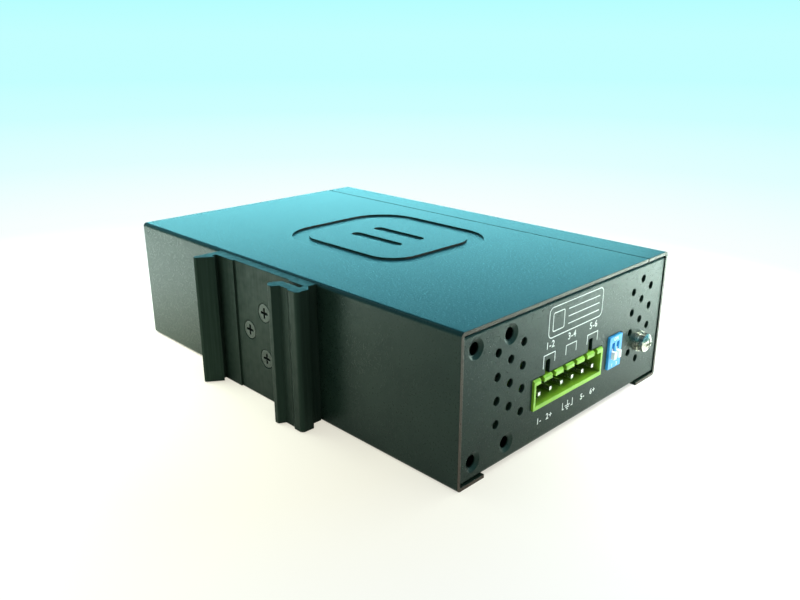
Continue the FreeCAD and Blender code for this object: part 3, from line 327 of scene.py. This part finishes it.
# Each bracket's left and right, and how far up its left foot is.
BRACKETS = ((33.1, 38.1, 21.7), (43.2, 48.1, BRACKET_FOOT), (53.55, 58.7, BRACKET_FOOT))
EARTH_MIDDLE = 46.0
EARTH_BARS = ((1.2, 6.9), (0.8, 6.3), (0.35, 5.7))          # half width of each, and how far up it is
FIGURE_ROWS = (                      # how far up, how tall, then each figure and its middle
    (27.7, 1.9, (("1-2", 35.6), ("3-4", 45.6), ("5-6", 56.1))),
    (6.9, 1.7, (("1-", 32.6), ("2+", 37.2), ("5-", 53.4), ("6+", 58.6))),
)
SWITCH_PITCH = 2.54                  # between the two ways of the switch block
SWITCH_FIGURE = 1.0                  # height of the figures on the switch block
SWITCH_MARGIN = 0.9                  # from its ends to the middle of its figures


def panel_point(across, up):
    """A point of the power end: along Y from its rear edge and up from its lower edge, in mm."""
    return cover_low.y + across * MM, floor_level + up * MM


def ribbon(points, closed):
    """A flat stroke along points in the plane, as corner pairs with mitred joints."""
    count = len(points)
    rails = []
    for index, point in enumerate(points):
        before = points[index - 1] if closed or index > 0 else None
        after = points[(index + 1) % count] if closed or index < count - 1 else None
        into = (point - before).normalized() if before is not None else None
        out = (after - point).normalized() if after is not None else None
        ways = [way for way in (into, out) if way is not None]
        along = sum(ways, Vector((0, 0))).normalized()
        side = Vector((-along.y, along.x))
        reach = STROKE / 2 / max(SHARPEST_MITRE, side.dot(Vector((-ways[0].y, ways[0].x))))
        rails.append((point + side * reach, point - side * reach))
    return rails


def ink_stroke(mesh, points, closed=False):
    """Adds one stroke of ink, a closed thin strip, to a bmesh on the power end."""
    rails = ribbon([Vector(point) for point in points], closed)
    low = power_face + PRINT_STEP
    rows = []
    for pair in rails:
        rows.append([mesh.verts.new((x, place.x, place.y))
                     for x in (low, low + PRINT_THICK) for place in pair])
    steps = len(rows) if closed else len(rows) - 1
    for index in range(steps):
        here, there = rows[index], rows[(index + 1) % len(rows)]
        for first, second in ((0, 1), (1, 3), (3, 2), (2, 0)):
            mesh.faces.new((here[first], here[second], there[second], there[first]))
    if not closed:
        for row in (rows[0], rows[-1]):
            mesh.faces.new((row[0], row[1], row[3], row[2]))


def rounded_frame(low, high, radius, steps=5):
    """The outline of a rectangle with round corners, in the power end's plane."""
    points = []
    centres = ((high[0] - radius, high[1] - radius, 0), (low[0] + radius, high[1] - radius, 90),
               (low[0] + radius, low[1] + radius, 180), (high[0] - radius, low[1] + radius, 270))
    for across, up, start in centres:
        for step in range(steps + 1):
            turn = math.radians(start + 90 * step / steps)
            points.append((across + radius * math.cos(turn), up + radius * math.sin(turn)))
    return points


def print_piece(name, data):
    """Makes a mesh of ink a piece that rides on the case."""
    data.materials.append(ink)
    made = bpy.data.objects.new(name, data)
    bpy.context.scene.collection.objects.link(made)
    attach(made, CASE)


def print_strokes(name, mesh):
    """Turns a bmesh of strokes into a piece."""
    bmesh.ops.recalc_face_normals(mesh, faces=mesh.faces)
    data = bpy.data.meshes.new(name)
    mesh.to_mesh(data)
    mesh.free()
    print_piece(name, data)


def print_rules():
    """The ruled frame over the header, with a plain square and three lines."""
    mesh = bmesh.new()
    low, high = (panel_point(*corner) for corner in RULED_FRAME)
    ink_stroke(mesh, rounded_frame(low, high, 1.5 * MM), closed=True)
    low, high = (panel_point(*corner) for corner in RULED_SQUARE)
    ink_stroke(mesh, rounded_frame(low, high, 0.4 * MM, 2), closed=True)
    left, right, levels = RULED_LINES
    for up in levels:
        ink_stroke(mesh, [panel_point(left, up), panel_point(right, up)])
    print_strokes("print_frame", mesh)


def print_brackets():
    """Three brackets over the header, each joining two of its ways."""
    mesh = bmesh.new()
    for left, right, foot in BRACKETS:
        ink_stroke(mesh, [panel_point(left, foot), panel_point(left, BRACKET_TOP),
                          panel_point(right, BRACKET_TOP), panel_point(right, BRACKET_FOOT)])
    print_strokes("print_brackets", mesh)


def print_earth():
    """The earth sign between two low brackets, under the header's middle."""
    mesh = bmesh.new()
    for side in (-1, 1):
        outer, inner = EARTH_MIDDLE + side * 2.4, EARTH_MIDDLE + side * 1.7
        ink_stroke(mesh, [panel_point(outer, 8.3), panel_point(outer, 6.2), panel_point(inner, 6.2)])
    stem_foot = EARTH_BARS[0][1]
    ink_stroke(mesh, [panel_point(EARTH_MIDDLE, 8.4), panel_point(EARTH_MIDDLE, stem_foot)])
    for wide, up in EARTH_BARS:
        ink_stroke(mesh, [panel_point(EARTH_MIDDLE - wide, up), panel_point(EARTH_MIDDLE + wide, up)])
    print_strokes("print_earth", mesh)


CAPITAL_SHARE = 0.7                  # height of a capital letter against the font's size
ON_POWER_END = Matrix(((0, 0, 1, 0), (1, 0, 0, 0), (0, 1, 0, 0), (0, 0, 0, 1)))


def letters(words, tall, place, name):
    """Plain figures as a thin solid on a face that looks along X, with their middle at the place."""
    curve = bpy.data.curves.new(name, "FONT")
    curve.body = words
    curve.align_x = "CENTER"
    curve.align_y = "CENTER"
    curve.size = tall / CAPITAL_SHARE
    curve.space_character = 1.12
    curve.extrude = PRINT_THICK / 2
    curve.offset = tall * 0.02
    curve.resolution_u = 3
    holder = bpy.data.objects.new(name, curve)
    bpy.context.scene.collection.objects.link(holder)
    bpy.context.view_layer.update()
    data = bpy.data.meshes.new_from_object(holder)
    bpy.data.objects.remove(holder)
    data.transform(Matrix.Translation(place) @ ON_POWER_END)
    print_piece(name, data)


def print_figures():
    """Way numbers above and polarity signs below the header, and figures on the switch block."""
    level = power_face + PRINT_STEP + PRINT_THICK / 2
    for row, (up, tall, marks) in enumerate(FIGURE_ROWS):
        for index, (words, across) in enumerate(marks):
            place = Vector((level, *panel_point(across, up)))
            letters(words, tall * MM, place, f"print_figure_{row}_{index}")
    level = dip_high.x + PRINT_STEP
    middle = (dip_low.y + dip_high.y) / 2
    tall, margin = SWITCH_FIGURE * MM, SWITCH_MARGIN * MM
    for index, side in enumerate((-1, 1)):
        place = Vector((level, middle + side * SWITCH_PITCH / 2 * MM, dip_low.z + margin))
        letters(str(index + 1), tall, place, f"print_way_{index + 1}")
    letters("ON", tall, Vector((level, middle, dip_high.z - margin)), "print_on")


# ---------------------------------------------------------------- floor, light and camera

def ramp(tree, field, stops):
    """A colour ramp through (position, colour) stops."""
    made = add_node(tree, "ShaderNodeValToRGB")
    bars = made.color_ramp.elements
    while len(bars) < len(stops):
        bars.new(0.5)
    for bar, (position, color) in zip(bars, stops):
        bar.position = position
        bar.color = (*color, 1.0)
    tree.links.new(field, made.inputs["Fac"])
    return made.outputs["Color"]


HORIZON = (0.55, 1.0, 1.0)
FLOOR_REACH = 4.0                    # radius in metres
FLOOR_DROP = 0.02 * MM               # the floor lies this far under the case
FULL_FADE = 2.0                      # metres from the middle at which the floor's ramps end
# Floor colour by distance. The warm first stop, round the object, is painted shadow colour: it turns the
# object's contact shadow tan.
FLOOR_TINTS = (
    (0.03, (1.0, 0.95, 0.82)), (0.065, (1.0, 1.0, 0.99)), (0.14, (0.94, 1.0, 1.0)),
    (0.24, (0.76, 1.0, 1.0)), (0.45, (0.62, 1.0, 1.0)), (0.9, HORIZON),
)
FLOOR_FADE = ((0.05, (0.0, 0.0, 0.0)), (0.13, (1.0, 1.0, 1.0)))
NEAR_SHARE = 0.58                    # share of plain colour, against lit floor, beside the object
SKY = (
    (0.0, HORIZON), (0.12, (0.34, 1.0, 1.0)), (0.24, (0.14, 0.80, 1.0)), (0.33, (0.0, 0.54, 1.0)),
    (1.0, (0.05, 0.50, 0.65)),
)
EVEN_LIGHT = 0.75                    # strength of the light that falls from all round


def seen_by_lens_or_gloss(tree):
    """1 for camera, glossy and transmitted rays, 0 for the light that falls on things."""
    path = add_node(tree, "ShaderNodeLightPath")
    seen = path.outputs["Is Camera Ray"]
    for ray in ("Is Glossy Ray", "Is Transmission Ray"):
        either = add_node(tree, "ShaderNodeMath", operation="MAXIMUM")
        tree.links.new(seen, either.inputs[0])
        tree.links.new(path.outputs[ray], either.inputs[1])
        seen = either.outputs[0]
    return seen


def mix_into(tree, share, first, second, end_kind, end_socket):
    """Mixes two shaders by the share of the second, into the tree's output."""
    mixed = add_node(tree, "ShaderNodeMixShader")
    tree.links.new(share, mixed.inputs["Fac"])
    tree.links.new(first.outputs[0], mixed.inputs[1])
    tree.links.new(second.outputs[0], mixed.inputs[2])
    tree.links.new(mixed.outputs[0], add_node(tree, end_kind).inputs[end_socket])


def make_floor():
    """A round pale floor that takes the object's shadow, and fades into the horizon's colour.

    For the lens alone, part of its colour is shown plain. It gives the object no light by that.
    """
    mesh = bmesh.new()
    bmesh.ops.create_circle(mesh, cap_ends=True, segments=96, radius=FLOOR_REACH)
    bmesh.ops.translate(mesh, verts=mesh.verts, vec=(0, 0, floor_level - FLOOR_DROP))
    data = bpy.data.meshes.new("floor")
    mesh.to_mesh(data)
    mesh.free()
    floor = bpy.data.objects.new("floor", data)
    bpy.context.scene.collection.objects.link(floor)
    material = bpy.data.materials.new("floor")
    material.use_nodes = True
    tree = material.node_tree
    tree.nodes.clear()
    where = add_node(tree, "ShaderNodeTexCoord")
    flat = add_node(tree, "ShaderNodeVectorMath", operation="LENGTH")
    tree.links.new(where.outputs["Object"], flat.inputs[0])
    distance = add_node(tree, "ShaderNodeMath", operation="DIVIDE")
    distance.inputs[1].default_value = FULL_FADE
    tree.links.new(flat.outputs["Value"], distance.inputs[0])
    tint = ramp(tree, distance.outputs[0], FLOOR_TINTS)
    matt = add_node(tree, "ShaderNodeBsdfDiffuse")
    tree.links.new(tint, matt.inputs["Color"])
    lit = add_node(tree, "ShaderNodeEmission")
    tree.links.new(tint, lit.inputs["Color"])
    amount = add_node(tree, "ShaderNodeMapRange")
    amount.inputs["To Min"].default_value = NEAR_SHARE
    amount.inputs["To Max"].default_value = 1.0
    tree.links.new(ramp(tree, distance.outputs[0], FLOOR_FADE), amount.inputs["Value"])
    share = add_node(tree, "ShaderNodeMath", operation="MULTIPLY")
    tree.links.new(amount.outputs["Result"], share.inputs[0])
    tree.links.new(add_node(tree, "ShaderNodeLightPath").outputs["Is Camera Ray"], share.inputs[1])
    mix_into(tree, share.outputs[0], matt, lit, "ShaderNodeOutputMaterial", "Surface")
    data.materials.append(material)


def make_world():
    """A pale room: cyan at the horizon, deeper overhead in reflections, and plain as a light."""
    world = bpy.data.worlds.new("room")
    bpy.context.scene.world = world
    world.use_nodes = True
    tree = world.node_tree
    tree.nodes.clear()
    where = add_node(tree, "ShaderNodeTexCoord")
    split = add_node(tree, "ShaderNodeSeparateXYZ")
    tree.links.new(where.outputs["Generated"], split.inputs[0])
    shown = add_node(tree, "ShaderNodeBackground")
    tree.links.new(ramp(tree, split.outputs["Z"], SKY), shown.inputs["Color"])
    shown.inputs["Strength"].default_value = 1.0
    even = add_node(tree, "ShaderNodeBackground")
    even.inputs["Color"].default_value = (0.86, 1.0, 1.0, 1.0)
    even.inputs["Strength"].default_value = EVEN_LIGHT
    mix_into(tree, seen_by_lens_or_gloss(tree), even, shown, "ShaderNodeOutputWorld", "Surface")


def soft_lamp(name, place, aim, size, power, color=(1, 1, 1), spread=180):
    """An area lamp at a place in metres, aimed at another. The spread is in degrees."""
    light = bpy.data.lights.new(name, "AREA")
    light.shape = "RECTANGLE"
    light.size, light.size_y = size
    light.energy = power
    light.color = color
    light.spread = math.radians(spread)
    lamp = bpy.data.objects.new(name, light)
    lamp.location = place
    lamp.rotation_euler = (Vector(aim) - Vector(place)).to_track_quat("-Z", "Y").to_euler()
    bpy.context.scene.collection.objects.link(lamp)


def make_lights():
    middle = (cover_low + cover_high) / 2
    soft_lamp("overhead", (0.55, -0.05, 0.85), middle, (0.9, 0.9), 3.0)
    soft_lamp("back_sky", (-0.85, 0.85, 0.17), middle, (1.1, 0.24), 5.9, (0.26, 0.90, 1.0))
    # A lamp over the floor past each far corner: the walls mirror the pool of light under it.
    pool = (0.86, 1.0, 0.9)
    soft_lamp("pool_front", (0.17, 0.27, 0.24), (0.17, 0.27, 0.0), (0.2, 0.2), 2.4, pool, 80)
    soft_lamp("pool_rear", (-0.18, -0.10, 0.24), (-0.18, -0.10, 0.0), (0.2, 0.2), 1.0, pool, 80)


CAMERA_PLACE = Vector((177.22, -115.51, 82.59)) * MM
CAMERA_AZIMUTH = 45.233
CAMERA_ELEVATION = 19.284
LENS = 34.16


def make_camera():
    """The lens stands off the corner of the power end and the clip's side, at the photograph's angle."""
    data = bpy.data.cameras.new("camera")
    data.sensor_width = 36.0
    data.lens = LENS
    data.clip_start = 5 * MM
    data.clip_end = 20.0
    camera = bpy.data.objects.new("camera", data)
    camera.location = CAMERA_PLACE
    camera.rotation_euler = (math.radians(90 - CAMERA_ELEVATION), 0, math.radians(CAMERA_AZIMUTH))
    bpy.context.scene.collection.objects.link(camera)
    bpy.context.scene.camera = camera


bpy.context.scene.view_settings.view_transform = "Standard"
ink = white_print()
dress_nodes()
print_rules()
print_brackets()
print_earth()
print_figures()
make_floor()
make_world()
make_lights()
make_camera()
